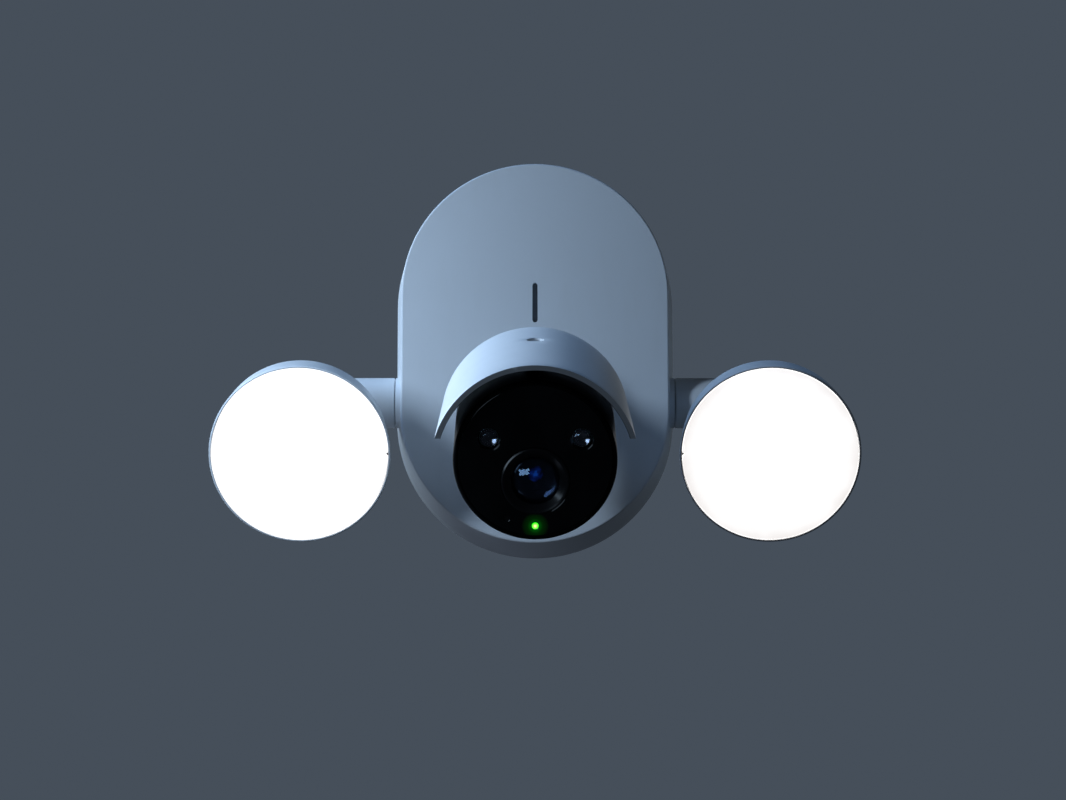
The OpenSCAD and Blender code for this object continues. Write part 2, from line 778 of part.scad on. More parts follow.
ir_leds();
ir_lenses();
status_light();
light_sensor();
main_board();
camera_heat_sink();
visor();
visor_screw();
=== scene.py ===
"""Floodlight security camera: finishes, fine detail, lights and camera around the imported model."""
import json
import math

import bmesh
import bpy
from mathutils import Matrix, Vector


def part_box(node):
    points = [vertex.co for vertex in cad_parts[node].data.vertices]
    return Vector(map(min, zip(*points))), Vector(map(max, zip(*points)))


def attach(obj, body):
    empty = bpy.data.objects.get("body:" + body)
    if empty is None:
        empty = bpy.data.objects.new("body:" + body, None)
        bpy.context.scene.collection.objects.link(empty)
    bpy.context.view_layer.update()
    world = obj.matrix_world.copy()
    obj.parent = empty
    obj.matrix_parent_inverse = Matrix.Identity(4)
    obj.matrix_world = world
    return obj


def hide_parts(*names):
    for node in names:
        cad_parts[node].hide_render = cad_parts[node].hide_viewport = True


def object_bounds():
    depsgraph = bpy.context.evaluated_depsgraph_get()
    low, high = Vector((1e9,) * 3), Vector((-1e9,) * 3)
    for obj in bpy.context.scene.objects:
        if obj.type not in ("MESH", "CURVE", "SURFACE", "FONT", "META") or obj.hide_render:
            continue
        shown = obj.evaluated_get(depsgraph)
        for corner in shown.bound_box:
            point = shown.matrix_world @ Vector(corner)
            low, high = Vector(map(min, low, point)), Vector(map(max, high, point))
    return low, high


MM = 0.001
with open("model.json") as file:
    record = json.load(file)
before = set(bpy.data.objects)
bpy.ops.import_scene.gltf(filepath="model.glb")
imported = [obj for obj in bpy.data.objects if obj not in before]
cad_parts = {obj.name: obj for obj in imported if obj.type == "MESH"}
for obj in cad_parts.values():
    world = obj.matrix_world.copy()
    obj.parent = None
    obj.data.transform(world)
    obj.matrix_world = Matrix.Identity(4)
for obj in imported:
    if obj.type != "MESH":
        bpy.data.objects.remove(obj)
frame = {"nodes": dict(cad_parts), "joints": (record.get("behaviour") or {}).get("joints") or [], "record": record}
cad_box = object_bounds()
nodes = frame["nodes"]
joint_at = {j["name"]: Vector(j["pos_m"]) for j in frame["joints"] if "pos_m" in j}

# Facts of the design, in millimetres, along the same local axes as the CAD model
HEAD_TILT = 23
LAMP_TILT = 23
LAMP_DROP = 8.5
LAMP_REACH = 54.5
LENS_DROP = 8.4
IR_X, IR_UP = 18.3, 8.8
HEAD_R = 32.5
VISOR_UP = 1
VISOR_FRONT_T, VISOR_LEN = 124.4, 77.9
VISOR_FRONT_R, VISOR_BACK_R, VISOR_WALL = 40.9, 38.3, 2.2
VISOR_TAPER = (VISOR_FRONT_R - VISOR_BACK_R) / VISOR_LEN
# Inner radius of the visor's cone, carried back to the tilt axis
VISOR_INNER_R = VISOR_FRONT_R - VISOR_WALL - VISOR_TAPER * VISOR_FRONT_T
BUTTON_T = 51
STATUS_DROP = 26.7
STATUS_R = 1.3


def looking(at, tilt):
    """Frame at a point: local Z looks forwards and tilts down, local Y is up, lengths in mm."""
    turn = Matrix.Rotation(math.radians(90 + tilt), 4, "X")
    return Matrix.Translation(at) @ turn @ Matrix.Scale(MM, 4)


HEAD = looking(joint_at["camera_tilt"], HEAD_TILT)


def lamp_face(side):
    """Frame at the middle of a lamp's diffuser face."""
    arm, swivel = joint_at[side + "_arm_tilt"], joint_at[side + "_lamp_swivel"]
    base = looking(Vector((swivel.x, arm.y, arm.z)), LAMP_TILT)
    return base @ Matrix.Translation((0, -LAMP_DROP, LAMP_REACH))


# ---- Camera ----

def make_camera():
    """Level in azimuth and looking up at the object from 9 degrees below, as in the photograph."""
    distance, rise = 1.6, math.radians(9)
    aim = Vector((-0.87, 0, -15.29)) * MM
    sensor_width, focal_length = 36, 123.83
    data = bpy.data.cameras.new("camera")
    data.sensor_width = sensor_width
    data.lens = focal_length
    camera = bpy.data.objects.new("camera", data)
    camera.location = aim - distance * Vector((0, math.cos(rise), math.sin(rise)))
    camera.rotation_euler = (math.radians(90) + rise, 0, 0)
    bpy.context.scene.collection.objects.link(camera)
    bpy.context.scene.camera = camera


make_camera()


# ---- Materials ----

class Paint:
    """One material: a Principled shader with helpers for procedural detail in object coordinates."""

    def __init__(self, name, **sockets):
        self.material = bpy.data.materials.new(name)
        self.material.use_nodes = True
        self.tree = self.material.node_tree
        self.shader = self.tree.nodes["Principled BSDF"]
        self.place = self.add("TexCoord").outputs["Object"]
        self.set(**sockets)

    def add(self, kind, **values):
        node = self.tree.nodes.new("ShaderNode" + kind)
        for key, value in values.items():
            setattr(node, key, value)
        return node

    def set(self, **sockets):
        for key, value in sockets.items():
            self.shader.inputs[key.replace("_", " ")].default_value = value
        return self

    def link(self, source, target):
        self.tree.links.new(source, target)

    def at(self, matrix):
        """Object coordinates turned into a local frame, in its own millimetres."""
        inverse = matrix.inverted()
        spot, turn, size = inverse.decompose()
        mapping = self.add("Mapping")
        mapping.inputs["Location"].default_value = spot
        mapping.inputs["Rotation"].default_value = turn.to_euler()
        mapping.inputs["Scale"].default_value = size
        self.link(self.place, mapping.inputs["Vector"])
        return mapping.outputs["Vector"]

    def noise(self, size, detail=2.0, stretch=(1, 1, 1), place=None):
        """Noise with grains of about size millimetres, from 0 to 1."""
        place = place or self.place
        if stretch != (1, 1, 1):
            mapping = self.add("Mapping")
            mapping.inputs["Scale"].default_value = stretch
            self.link(place, mapping.inputs["Vector"])
            place = mapping.outputs["Vector"]
        node = self.add("TexNoise")
        node.inputs["Scale"].default_value = 1 / (size * MM)
        node.inputs["Detail"].default_value = detail
        self.link(place, node.inputs["Vector"])
        return node.outputs["Fac"]

    def cells(self, size, feature="F1"):
        node = self.add("TexVoronoi", feature=feature)
        node.inputs["Scale"].default_value = 1 / (size * MM)
        self.link(self.place, node.inputs["Vector"])
        return node.outputs["Distance"]

    def span(self, source, low, high, start=0.3, end=0.7):
        """Maps a value between start and end to between low and high."""
        node = self.add("MapRange")
        for key, value in {"From Min": start, "From Max": end, "To Min": low, "To Max": high}.items():
            node.inputs[key].default_value = value
        self.link(source, node.inputs["Value"])
        return node.outputs["Result"]

    def math(self, operation, first, second):
        node = self.add("Math", operation=operation)
        for value, socket in ((first, node.inputs[0]), (second, node.inputs[1])):
            if isinstance(value, (int, float)):
                socket.default_value = value
            else:
                self.link(value, socket)
        return node.outputs[0]

    def ramp(self, source, *stops):
        """Colour ramp; each stop is (position, colour)."""
        node = self.add("ValToRGB")
        marks = node.color_ramp.elements
        while len(marks) < len(stops):
            marks.new(0.5)
        for mark, (position, colour) in zip(marks, stops):
            mark.position = position
            mark.color = (*colour, 1)
        self.link(source, node.inputs["Fac"])
        return node.outputs["Color"]

    def radius(self, place):
        """Distance from a local frame's Z axis, in millimetres."""
        split = self.add("SeparateXYZ")
        self.link(place, split.inputs[0])
        squares = [self.math("MULTIPLY", split.outputs[k], split.outputs[k]) for k in (0, 1)]
        return self.math("SQRT", self.math("ADD", *squares), 0.0)

    def colour(self, source):
        self.link(source, self.shader.inputs["Base Color"])
        return self

    def roughness(self, source):
        self.link(source, self.shader.inputs["Roughness"])
        return self

    def bump(self, height, depth, strength=1.0):
        """Surface relief of that depth in millimetres, stacked on any relief already there."""
        node = self.add("Bump")
        node.inputs["Strength"].default_value = strength
        node.inputs["Distance"].default_value = depth * MM
        self.link(height, node.inputs["Height"])
        normal = self.shader.inputs["Normal"]
        if normal.links:
            self.link(normal.links[0].from_socket, node.inputs["Normal"])
        self.link(node.outputs["Normal"], normal)
        return self


def shade(colour, factor):
    return tuple(min(1, c * factor) for c in colour)


def moulded(name, colour, rough, grain=0.35, depth=0.012, variation=0.04, **sockets):
    """Moulded plastic: spark-eroded grain, slightly uneven gloss and a faint mottle."""
    paint = Paint(name, **sockets)
    mottle = paint.noise(28, 3)
    paint.colour(paint.ramp(mottle, (0.3, shade(colour, 1 - variation)), (0.7, colour)))
    paint.roughness(paint.span(paint.noise(9, 4), rough - 0.05, rough + 0.06))
    paint.bump(paint.noise(grain, 2), depth)
    return paint


def weathered_white(name, colour, rough, grain, depth):
    """White outdoor plastic or paint: grain, uneven gloss, a little dust and faint rain streaks."""
    paint = Paint(name)
    streaks = paint.noise(7, 3, stretch=(1, 1, 0.2))
    dust = paint.noise(40, 5)
    grime = paint.math("MULTIPLY", paint.span(streaks, 0, 1, 0.45, 0.8), paint.span(dust, 0, 1, 0.4, 0.75))
    dirty = (colour[0] * 0.955, colour[1] * 0.95, colour[2] * 0.935)
    paint.colour(paint.ramp(grime, (0.0, colour), (1.0, dirty)))
    paint.roughness(paint.span(paint.noise(11, 4), rough - 0.05, rough + 0.07))
    paint.bump(paint.noise(grain, 2), depth)
    paint.bump(paint.noise(14, 1), 0.012, 0.5)
    return paint


def metal(name, colour, rough, lines=(1, 1, 18), depth=0.004):
    """Bare metal with fine tool lines and uneven gloss."""
    paint = Paint(name, Metallic=1.0)
    paint.colour(paint.ramp(paint.noise(14, 3), (0.3, shade(colour, 0.93)), (0.7, colour)))
    paint.roughness(paint.span(paint.noise(8, 3), rough - 0.04, rough + 0.05))
    paint.bump(paint.noise(1.2, 3, stretch=lines), depth)
    return paint


def white_moulding(name):
    """The white of the mouldings that the photograph shows."""
    return weathered_white(name, (0.77, 0.785, 0.80), 0.43, 0.30, 0.010)


def white_plastic():
    return white_moulding("white_plastic")


def white_cast():
    return weathered_white("white_cast", (0.76, 0.775, 0.79), 0.38, 0.9, 0.022)


def visor_white():
    """The visor's white outside and rim, and matt black on its inner face."""
    paint = white_moulding("visor_white")
    place = paint.at(HEAD @ Matrix.Translation((0, VISOR_UP, 0)))
    split = paint.add("SeparateXYZ")
    paint.link(place, split.inputs[0])
    taper = paint.math("MULTIPLY", split.outputs[2], VISOR_TAPER)
    edge = paint.math("SUBTRACT", paint.radius(place), taper)
    # Mask of the visor's inner face, which is coloured black; the outside and the rim stay white
    inner_black_mask = paint.span(edge, 1, 0, VISOR_INNER_R + 0.10, VISOR_INNER_R + 0.22)
    black = paint.ramp(paint.noise(3, 3), (0.3, (0.004, 0.004, 0.0045)), (0.7, (0.008, 0.008, 0.009)))
    outside = paint.shader.inputs["Base Color"].links[0].from_socket
    mix = paint.add("Mix", data_type="RGBA")
    factor, first, second, result = mix.inputs[0], mix.inputs[6], mix.inputs[7], mix.outputs[2]
    for source, target in ((inner_black_mask, factor), (outside, first), (black, second)):
        paint.link(source, target)
    return paint.colour(result)


def black_gloss():
    paint = moulded("black_gloss", (0.003, 0.003, 0.0035), 0.2, grain=1.6, depth=0.004, variation=0.2,
                    Specular_IOR_Level=0.22)
    specks = paint.cells(1.1)
    paint.bump(paint.span(specks, 1, 0, 0.0, 0.08), 0.01, 0.6)
    return paint


def barrel_black():
    """Satin black paint on the barrel, with a fine texture."""
    paint = moulded("barrel_black", (0.003, 0.003, 0.0034), 0.5, grain=0.4, depth=0.01, variation=0.2,
                    Specular_IOR_Level=0.12)
    paint.bump(paint.noise(1.4, 3), 0.012, 0.6)
    return paint


def black_plastic():
    return moulded("black_plastic", (0.008, 0.008, 0.009), 0.46, variation=0.2, Specular_IOR_Level=0.4)


def window():
    """Black window: clear gloss with fine smudges, and a soft green glow around the status light."""
    paint = Paint("window", Specular_IOR_Level=0.16)
    smudge = paint.noise(16, 5, stretch=(1, 1, 0.6))
    paint.colour(paint.ramp(smudge, (0.3, (0.0012, 0.0012, 0.0014)), (0.8, (0.003, 0.003, 0.0034))))
    paint.roughness(paint.span(smudge, 0.03, 0.10, 0.4, 0.75))
    painted_glow = paint.radius(paint.at(HEAD @ Matrix.Translation((0, -STATUS_DROP, 0))))
    fade = paint.ramp(paint.span(painted_glow, 0, 1, STATUS_R, STATUS_R + 4.2),
                      (0.0, (0.0, 0.07, 0.002)), (0.4, (0.0, 0.013, 0.0)), (1.0, (0.0, 0.0, 0.0)))
    paint.link(fade, paint.shader.inputs["Emission Color"])
    return paint.set(Emission_Strength=1.0)


def opal(side="left"):
    """Lit diffuser: even white light, a trace warmer towards the rim."""
    paint = Paint("opal_" + side, Roughness=0.35, Base_Color=(0.9, 0.9, 0.88, 1))
    from_axis = paint.radius(paint.at(lamp_face(side)))
    uneven = paint.math("ADD", from_axis, paint.span(paint.noise(14, 2), -1.5, 1.5))
    light = paint.ramp(paint.span(uneven, 0, 1, 29, 37),
                       (0.0, (1.0, 1.0, 1.0)), (0.6, (0.97, 0.95, 0.94)), (1.0, (0.86, 0.82, 0.80)))
    paint.link(light, paint.shader.inputs["Emission Color"])
    paint.bump(paint.noise(0.5, 1), 0.01, 0.4)
    return paint.set(Emission_Strength=1.02)


def lens_glass():
    """Front lens with an anti-reflection coating that leaves a faint blue reflection."""
    paint = Paint("lens_glass", Base_Color=(0.32, 0.37, 0.50, 1), Transmission_Weight=1.0, IOR=1.6,
                  Specular_Tint=(0.38, 0.54, 0.80, 1))
    paint.roughness(paint.span(paint.noise(6, 4), 0.0, 0.03))
    return paint


def coated_lens():
    """Inner lens with a blue and violet anti-reflection coating, and a painted blue reflection that glows faintly
    in its middle.
    """
    paint = Paint("coated_lens", IOR=1.6, Specular_IOR_Level=0.5, Coat_Weight=0.2, Coat_Roughness=0.02)
    tone = paint.noise(3, 2)
    from_axis = paint.radius(paint.at(HEAD @ Matrix.Translation((0, -LENS_DROP, 0))))
    uneven = paint.math("ADD", from_axis, paint.span(paint.noise(1.6, 2), -1.2, 1.2))
    # Painted blue reflection: emission in the lens's middle that fades out within 2 mm of its axis
    painted_glow = paint.ramp(paint.span(uneven, 0, 1, 0.0, 2.0),
                      (0.0, (0.006, 0.06, 0.32)), (0.4, (0.002, 0.012, 0.09)), (1.0, (0.0, 0.0, 0.0)))
    paint.link(painted_glow, paint.shader.inputs["Emission Color"])
    paint.colour(paint.ramp(tone, (0.35, (0.001, 0.006, 0.045)), (0.65, (0.006, 0.002, 0.030))))
    paint.roughness(paint.span(tone, 0.03, 0.07))
    return paint.set(Specular_Tint=(0.25, 0.45, 1.0, 1), Emission_Strength=1.0)


def bright():
    """Vacuum-plated reflector, smoked dark."""
    paint = Paint("bright", Metallic=1.0, Base_Color=(0.28, 0.29, 0.32, 1))
    paint.roughness(paint.span(paint.noise(2, 3), 0.05, 0.10))
    return paint


def clear_lens():
    paint = Paint("clear_lens", Base_Color=(0.62, 0.64, 0.68, 1), Transmission_Weight=1.0, IOR=1.5,
                  Specular_Tint=(0.6, 0.7, 0.8, 1))
    paint.roughness(paint.span(paint.noise(3, 3), 0.01, 0.05))
    return paint


def status_green():
    """Green light pipe with a hot, yellow-white middle."""
    paint = Paint("status_green", Base_Color=(0.1, 0.8, 0.1, 1), Roughness=0.3)
    from_axis = paint.radius(paint.at(HEAD @ Matrix.Translation((0, -STATUS_DROP, 0))))
    uneven = paint.math("ADD", from_axis, paint.span(paint.noise(0.5), -0.12, 0.12))
    light = paint.ramp(paint.span(uneven, 0, 1, 0, STATUS_R),
                       (0.0, (0.8, 1.0, 0.35)), (0.5, (0.25, 1.0, 0.08)), (1.0, (0.0, 0.6, 0.0)))
    paint.link(light, paint.shader.inputs["Emission Color"])
    return paint.set(Emission_Strength=2.2)


def steel():
    """Zinc-plated steel: faint spangle and fine rolling lines."""
    paint = metal("steel", (0.72, 0.725, 0.73), 0.5)
    spangle = paint.cells(4.5)
    paint.bump(paint.span(spangle, 0, 1, 0, 0.7), 0.004, 0.2)
    return paint.set(Metallic=0.75)


def aluminium():
    return metal("aluminium", (0.78, 0.79, 0.80), 0.36)


def circuit(name, colour):
    """Circuit board: solder mask over faint copper tracks."""
    paint = Paint(name, Roughness=0.35)
    tracks = paint.cells(2.6, "DISTANCE_TO_EDGE")
    paint.colour(paint.ramp(tracks, (0.0, shade(colour, 1.35)), (0.08, colour)))
    paint.bump(tracks, 0.03, 0.6)
    return paint


def pcb_green():
    return circuit("pcb_green", (0.012, 0.11, 0.045))


def pcb_white():
    return circuit("pcb_white", (0.72, 0.73, 0.72))


def led_phosphor():
    return moulded("led_phosphor", (0.86, 0.70, 0.12), 0.4, variation=0.15)


def ir_led():
    return moulded("ir_led", (0.10, 0.09, 0.10), 0.25, variation=0.3, Metallic=0.6)


def rubber():
    return moulded("rubber", (0.018, 0.018, 0.019), 0.68, grain=0.6, depth=0.02, variation=0.3)


def foam():
    """Closed-cell foam: open pores on the cut faces."""
    paint = Paint("foam")
    pores = paint.cells(0.9)
    paint.colour(paint.ramp(pores, (0.1, (0.018, 0.018, 0.019)), (0.6, (0.06, 0.06, 0.062))))
    paint.roughness(paint.span(pores, 0.75, 0.95, 0, 0.6))
    paint.bump(pores, 0.25)
    return paint


def cloth():
    """Grey acoustic cloth."""
    return moulded("cloth", (0.26, 0.29, 0.33), 0.8, grain=0.2, depth=0.01, variation=0.25)


def grey_plastic():
    return moulded("grey_plastic", (0.33, 0.34, 0.355), 0.48, variation=0.1)


def component():
    return moulded("component", (0.05, 0.05, 0.055), 0.4, variation=0.4)


finish = {make.__name__: make().material for make in (
    white_plastic, white_cast, black_gloss, black_plastic, window, lens_glass, clear_lens, status_green,
    steel, aluminium, pcb_green, pcb_white, led_phosphor, ir_led, rubber, foam, grey_plastic, component,
    bright, cloth)}
for side in ("left", "right"):
    finish["opal_" + side] = opal(side).material

for part in frame["record"]["subparts"]:
    name, slot = part["node"], part["material_slot"]
    key = "opal_" + name.split("_")[0] if slot == "opal" else slot
    for material_slot in nodes[name].material_slots:
        material_slot.material = finish[key]

for name, material in {"rear_lens": coated_lens().material, "lens_ring": finish["black_gloss"],
                       "barrel": barrel_black().material,
                       "window_gasket": moulded("gasket", (0.03, 0.03, 0.032), 0.28).material,
                       "visor": visor_white().material}.items():
    nodes[name].material_slots[0].material = material


# ---- Mesh helpers: lengths in the millimetres of a local frame ----

def lathe(mesh, place, profile, steps=96):
    """Solid of revolution about local Z; the profile is a closed loop of (radius, height)."""
    rings = []
    for r, height in profile:
        angles = [2 * math.pi * k / steps for k in range(steps)] if r > 1e-6 else [0.0]
        rings.append([mesh.verts.new(place @ Vector((r * math.cos(a), r * math.sin(a), height)))
                      for a in angles])
    for first, second in zip(rings, rings[1:] + rings[:1]):
        if len(first) == len(second) == 1:
            continue
        for k in range(steps):
            ring = [first[k % len(first)], first[(k + 1) % len(first)],
                    second[(k + 1) % len(second)], second[k % len(second)]]
            mesh.faces.new(list(dict.fromkeys(ring)))


def prism(mesh, place, outline, low, high):
    """Straight solid over a flat outline of (x, y) points."""
    rings = [[mesh.verts.new(place @ Vector((x, y, h))) for x, y in outline] for h in (low, high)]
    mesh.faces.new(rings[0][::-1])
    mesh.faces.new(rings[1])
    for k in range(len(outline)):
        n = (k + 1) % len(outline)
        mesh.faces.new((rings[0][k], rings[0][n], rings[1][n], rings[1][k]))


def tube(mesh, points, r, sides=6):
    """Round wire of radius r metres through points in metres."""
    rings, across = [], None
    for k, point in enumerate(points):
        along = (points[min(k + 1, len(points) - 1)] - points[max(k - 1, 0)]).normalized()
        across = (across - across.dot(along) * along if across else along.orthogonal()).normalized()
        up = along.cross(across)
        rings.append([mesh.verts.new(point + r * (across * math.cos(a) + up * math.sin(a)))
                      for a in (2 * math.pi * i / sides for i in range(sides))])
    for first, second in zip(rings, rings[1:]):
        for i in range(sides):
            n = (i + 1) % sides
            mesh.faces.new((first[i], first[n], second[n], second[i]))
    mesh.faces.new(rings[0][::-1])
    mesh.faces.new(rings[-1])


def build(name, mesh, body, slot, material=None, smooth=35, stands_for=()):
    """Turns a bmesh into a finished piece that rides on a body."""
    bmesh.ops.recalc_face_normals(mesh, faces=mesh.faces)
    data = bpy.data.meshes.new(name)
    mesh.to_mesh(data)
    mesh.free()
    data.materials.append(material or finish[slot])
    data.shade_smooth()
    data.set_sharp_from_angle(angle=math.radians(smooth))
    piece = bpy.data.objects.new(name, data)
    bpy.context.scene.collection.objects.link(piece)
    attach(piece, body)
    if stands_for:
        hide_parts(*stands_for)
    return piece


# ---- Fine detail ----

def make_lens_inside():
    """Stepped light baffle and iris between the front lens and the coated lens behind it."""
    axis = HEAD @ Matrix.Translation((0, -LENS_DROP, 0))
    seat, lip, foot, wall_r, rim_r = 102.15, 105.85, 104.5, 7.1, 9.7
    bore_r, last_r, tread, knee_r, steep, shallow = 4.6, 9.2, 0.75, 7, 0.55, 0.35
    steps, r, height = [], bore_r, seat
    while r < last_r:
        rise = steep if r < knee_r else shallow
        steps += [(r, height), (r, height + rise)]
        r, height = r + tread, height + rise
    baffle = bmesh.new()
    lathe(baffle, axis, [(wall_r, seat)] + steps + [(rim_r, lip), (rim_r, foot), (wall_r, foot)])
    build("lens_baffle", baffle, "camera_head", "black_plastic", smooth=30)
    iris = bmesh.new()
    blades, inner, outer, shift, thick, low = 7, 1.767, 6.9, 0.25, 0.03, 101.9
    swing = [math.radians(a) for a in range(0, 81, 10)]
    edge = [(outer * math.cos(a), outer * math.sin(a)) for a in swing]
    tip = [(inner * math.cos(a + shift), inner * math.sin(a + shift) + shift) for a in swing[::-1]]
    for k in range(blades):
        turn = Matrix.Rotation(2 * math.pi * k / blades, 4, "Z")
        prism(iris, axis @ turn, edge + tip, low + thick * k, low + thick * (k + 1))
    build("iris_blades", iris, "camera_head", "black_plastic", smooth=20)


def make_infrared():
    """Bright reflector cup behind each clear infrared lens."""
    throat_r, spread, bottom, depth, thick, drop, rings = 1.6, 2.7, 105.3, 1.55, 0.14, 0.02, 8
    bowl = [(throat_r + spread * (k / rings) ** 0.6, bottom + depth * k / rings) for k in range(rings + 1)]
    for side, s in (("left", -1), ("right", 1)):
        axis = HEAD @ Matrix.Translation((s * IR_X, IR_UP, 0))
        outside = [(r + thick, h - drop) for r, h in bowl[::-1]]
        cup = bmesh.new()
        lathe(cup, axis, bowl + outside, 64)
        build("ir_cup_" + side, cup, "camera_head", "aluminium", finish["bright"], smooth=40)


def make_slot_weave():
    """Woven cloth behind the sound slot, over and under at every crossing."""
    low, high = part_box("slot_mesh")
    centre = (low + high) / 2
    pitch, wire = 0.42 * MM, 0.12 * MM
    columns, rows = 9, 46
    weave = bmesh.new()

    def thread(count, crossings, point):
        for i in range(count):
            line = []
            for k in range(2 * crossings + 1):
                lift = wire * math.cos(math.pi * (k / 2 + i))
                line.append(point((i - (count - 1) / 2) * pitch, (k / 2 - crossings / 2) * pitch, lift))
            tube(weave, line, wire, 5)

    thread(columns, rows, lambda a, b, d: Vector((centre.x + a, centre.y + d, centre.z + b)))
    thread(rows, columns, lambda a, b, d: Vector((centre.x + b, centre.y - d, centre.z + a)))
    build("slot_weave", weave, "base", "black_plastic", finish["cloth"], smooth=60, stands_for=("slot_mesh",))


def make_lamp_vent(side):
    """Pressure vent on the back of a lamp: a low cap with a dished middle and raised radial bars."""
    drop, bars, seat, shoulder, top, dish = 15, 8, -23.8, -24.5, -24.8, -24.4
    bar_top, bar_root = -24.75, -24.3
    spot = lamp_face(side) @ Matrix.Translation((0, -drop, 0))
    vent = bmesh.new()
    lathe(vent, spot, [(0, seat), (3.9, seat), (3.9, shoulder), (3.6, top), (2.6, top), (2.5, dish),
                       (0, dish)], 64)
    for k in range(bars):
        turn = Matrix.Rotation(2 * math.pi * k / bars, 4, "Z")
        prism(vent, spot @ turn, [(0.5, -0.28), (2.7, -0.45), (2.7, 0.45), (0.5, 0.28)], bar_top, bar_root)
    build(side + "_lamp_vent", vent, side + "_lamp", "grey_plastic", smooth=30)


def make_button_ring():
    """Raised ring and dot moulded on the setup button, inside its recess."""
    sink, root, rise, top = 0.3, -0.1, 0.12, 0.2
    turn = Matrix.Rotation(math.radians(90), 4, "X")
    spot = HEAD @ Matrix.Translation((0, sink - HEAD_R, BUTTON_T)) @ turn
    ring = bmesh.new()
    lathe(ring, spot, [(2.1, root), (2.1, rise), (2.2, top), (2.4, top), (2.5, rise), (2.5, root)], 48)
    lathe(ring, spot, [(0, root), (0.6, root), (0.6, rise), (0.4, top), (0, top)], 24)
    build("button_ring", ring, "setup_button", "grey_plastic", smooth=40)


def strip(mesh, place, outer, inner, low, high):
    """Bar of rectangular section between two open lines of (x, y) points."""
    rings = [[mesh.verts.new(place @ Vector((*point, height)))
              for point, height in ((a, low), (a, high), (b, high), (b, low))] for a, b in zip(outer, inner)]
    for first, second in zip(rings, rings[1:]):
        for k in range(4):
            n = (k + 1) % 4
            mesh.faces.new((first[k], first[n], second[n], second[k]))
    mesh.faces.new(rings[0][::-1])
    mesh.faces.new(rings[-1])


def pill_line(r, gap, straight=25, steps=24):
    """Line round the base's pill shape at a distance r from its middle, open by the gap at the top."""
    start = math.asin(gap / 2 / r)
    quarter = [start + (math.pi / 2 - start) * k / steps for k in range(steps + 1)]
    upper = [(r * math.sin(a), straight + r * math.cos(a)) for a in quarter]
    lower = [(r * math.cos(a), -straight - r * math.sin(a))
             for a in (math.pi / 2 * k / steps for k in range(steps + 1))]
    right = upper + lower
    return right + [(-x, z) for x, z in right[-2::-1]]


def make_plate_ribs():
    """Moulded ribs on the back plate's wall side, open where the bracket's tongue passes."""
    place = Matrix.Rotation(math.radians(90), 4, "X") @ Matrix.Scale(MM, 4)
    low_depth, high_depth, thick, tongue_gap = 2.4, 4.3, 1.1, 21
    rib_r, straight, start = 50.5, 25, 30  # straight is half of the pill's straight side
    ribs = bmesh.new()
    strip(ribs, place, pill_line(rib_r, tongue_gap), pill_line(rib_r - thick, tongue_gap),
          low_depth, high_depth)
    for s in (-1, 1):
        for x in (-30, -20, 20, 30):
            reach = straight + math.sqrt((rib_r - thick / 2) ** 2 - x ** 2)
            strip(ribs, place, [(x - thick / 2, s * start), (x - thick / 2, s * reach)],
                  [(x + thick / 2, s * start), (x + thick / 2, s * reach)], low_depth, high_depth)
    slot = next(p["material_slot"] for p in frame["record"]["subparts"] if p["node"] == "back_plate")
    build("back_plate_ribs", ribs, "base", slot, smooth=30)


make_lens_inside()
make_infrared()
make_slot_weave()
make_button_ring()
make_plate_ribs()
for side in ("left", "right"):
    make_lamp_vent(side)


# ---- Softened edges on the CAD shells ----

def soften(name, width, angle=40):
    """Welds the mesh copy that is drawn and rounds its sharp edges."""
    weld = nodes[name].modifiers.new("weld", "WELD")
    weld.merge_threshold = 0.002 * MM
    bevel = nodes[name].modifiers.new("edges", "BEVEL")
    bevel.width = width * MM
    bevel.segments = 2
    bevel.limit_method = "ANGLE"
    bevel.angle_limit = math.radians(angle)
    bevel.harden_normals = False


SOFT_EDGES = {"visor": 0.3, "camera_socket": 0.3, "base_shell": 0.15, "rear_shell": 0.15, "barrel": 0.12,
              "back_plate": 0.2, "wall_bracket": 0.15, "pan_block": 0.15, "front_window": 0.3}
for side in ("left", "right"):
    SOFT_EDGES.update({side + "_arm": 0.2, side + "_lamp_housing": 0.15, side + "_diffuser": 0.15})
for name, width in SOFT_EDGES.items():
    soften(name, width)


# ---- Floor and light ----

def make_floor():
    """Plain pale floor, 1.5 m below the wall-mounted object; it throws no light back."""
    paint = Paint("floor", Roughness=0.75)
    paint.colour(paint.ramp(paint.noise(120, 3), (0.3, (0.58, 0.60, 0.63)), (0.7, (0.60, 0.62, 0.65))))
    mesh = bmesh.new()
    half, level = 30, cad_box[0].z - 1.5  # metres
    corners = [mesh.verts.new((x * half, y * half, level)) for x, y in ((-1, -1), (1, -1), (1, 1), (-1, 1))]
    mesh.faces.new(corners)
    data = bpy.data.meshes.new("floor")
    mesh.to_mesh(data)
    mesh.free()
    data.materials.append(paint.material)
    floor = bpy.data.objects.new("floor", data)
    floor.visible_diffuse = floor.visible_glossy = floor.visible_transmission = False
    bpy.context.scene.collection.objects.link(floor)
    return floor


def softbox(name, at, size, power, colour, aim=(0, -0.06, -0.02)):
    """Rectangular light at a place, in metres and watts, turned to the object and not seen itself."""
    data = bpy.data.lights.new(name, "AREA")
    data.shape = "RECTANGLE"
    data.size, data.size_y = size
    data.energy = power
    data.color = colour
    light = bpy.data.objects.new(name, data)
    light.location = at
    light.rotation_euler = (Vector(aim) - Vector(at)).to_track_quat("-Z", "Y").to_euler()
    light.visible_camera = False
    bpy.context.scene.collection.objects.link(light)
    return light


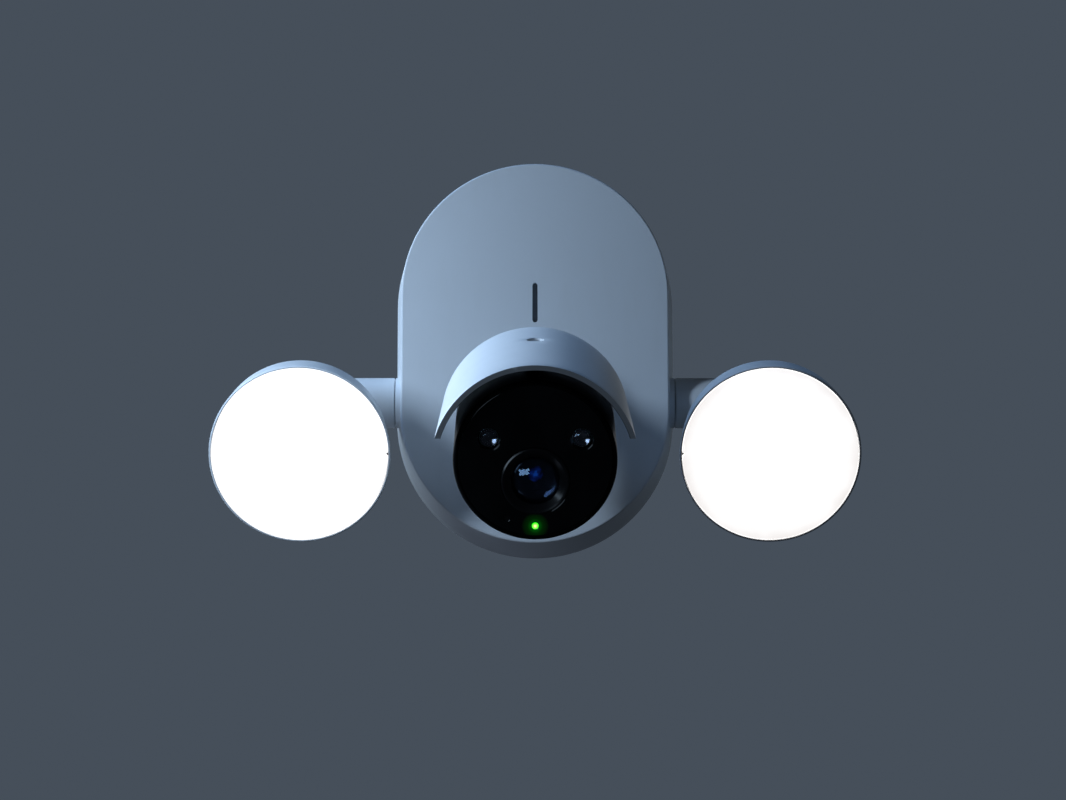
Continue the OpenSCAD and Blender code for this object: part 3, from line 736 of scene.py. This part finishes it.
def make_surroundings():
    """Even bluish surroundings, dimmer as a light than as the camera sees them."""
    world = bpy.data.worlds.new("studio")
    bpy.context.scene.world = world
    world.use_nodes = True
    tree = world.node_tree
    light, backdrop = tree.nodes["Background"], tree.nodes.new("ShaderNodeBackground")
    for node, strength in ((light, 0.035), (backdrop, 0.13)):
        node.inputs["Color"].default_value = (0.47, 0.60, 0.78, 1)
        node.inputs["Strength"].default_value = strength
    path, choice = tree.nodes.new("ShaderNodeLightPath"), tree.nodes.new("ShaderNodeMixShader")
    for source, target in ((path.outputs["Is Camera Ray"], choice.inputs[0]),
                           (light.outputs[0], choice.inputs[1]), (backdrop.outputs[0], choice.inputs[2]),
                           (choice.outputs[0], tree.nodes["World Output"].inputs["Surface"])):
        tree.links.new(source, target)


def only_for(light, name, *pieces):
    """Lets a light fall on these pieces alone."""
    group = bpy.data.collections.new(name)
    light.light_linking.receiver_collection = group
    for piece in pieces:
        group.objects.link(piece)


def make_light(floor):
    """Soft light from the left and above; the glass parts and the floor each have a light of their own."""
    softbox("key", (-0.27, -0.225, 0.056), (0.04, 0.10), 0.70, (0.57, 0.76, 1.0))
    softbox("sky", (-0.50, -0.05, 0.78), (0.5, 0.3), 3.2, (0.27, 0.53, 1.0))
    softbox("bounce", (-0.30, 0.02, -0.32), (0.3, 0.3), 0.14, (0.62, 0.75, 1.0))
    softbox("fill", (1.2, 0.7, 0.3), (0.7, 0.7), 1.2, (0.70, 0.85, 1.0))
    softbox("rim", (-0.9, 0.7, 0.6), (0.6, 0.6), 10, (0.66, 0.83, 1.0))
    card = softbox("card", (-0.61, -0.93, -0.12), (0.62, 0.30), 4.2, (0.60, 0.80, 1.0))
    shiny = ("front_lens", "rear_lens", "ir_lenses", "lens_ring", "front_window", "window_gasket")
    only_for(card, "glass", *(nodes[name] for name in shiny),
             *(bpy.data.objects["ir_cup_" + side] for side in ("left", "right")))
    ground = bpy.data.objects.new("ground", bpy.data.lights.new("ground", "SUN"))
    ground.data.energy, ground.data.angle, ground.data.color = 1.1, 0.6, (0.80, 0.90, 1.0)
    bpy.context.scene.collection.objects.link(ground)
    only_for(ground, "ground", floor)
    bpy.context.scene.view_settings.view_transform = "Standard"


make_surroundings()
make_light(make_floor())
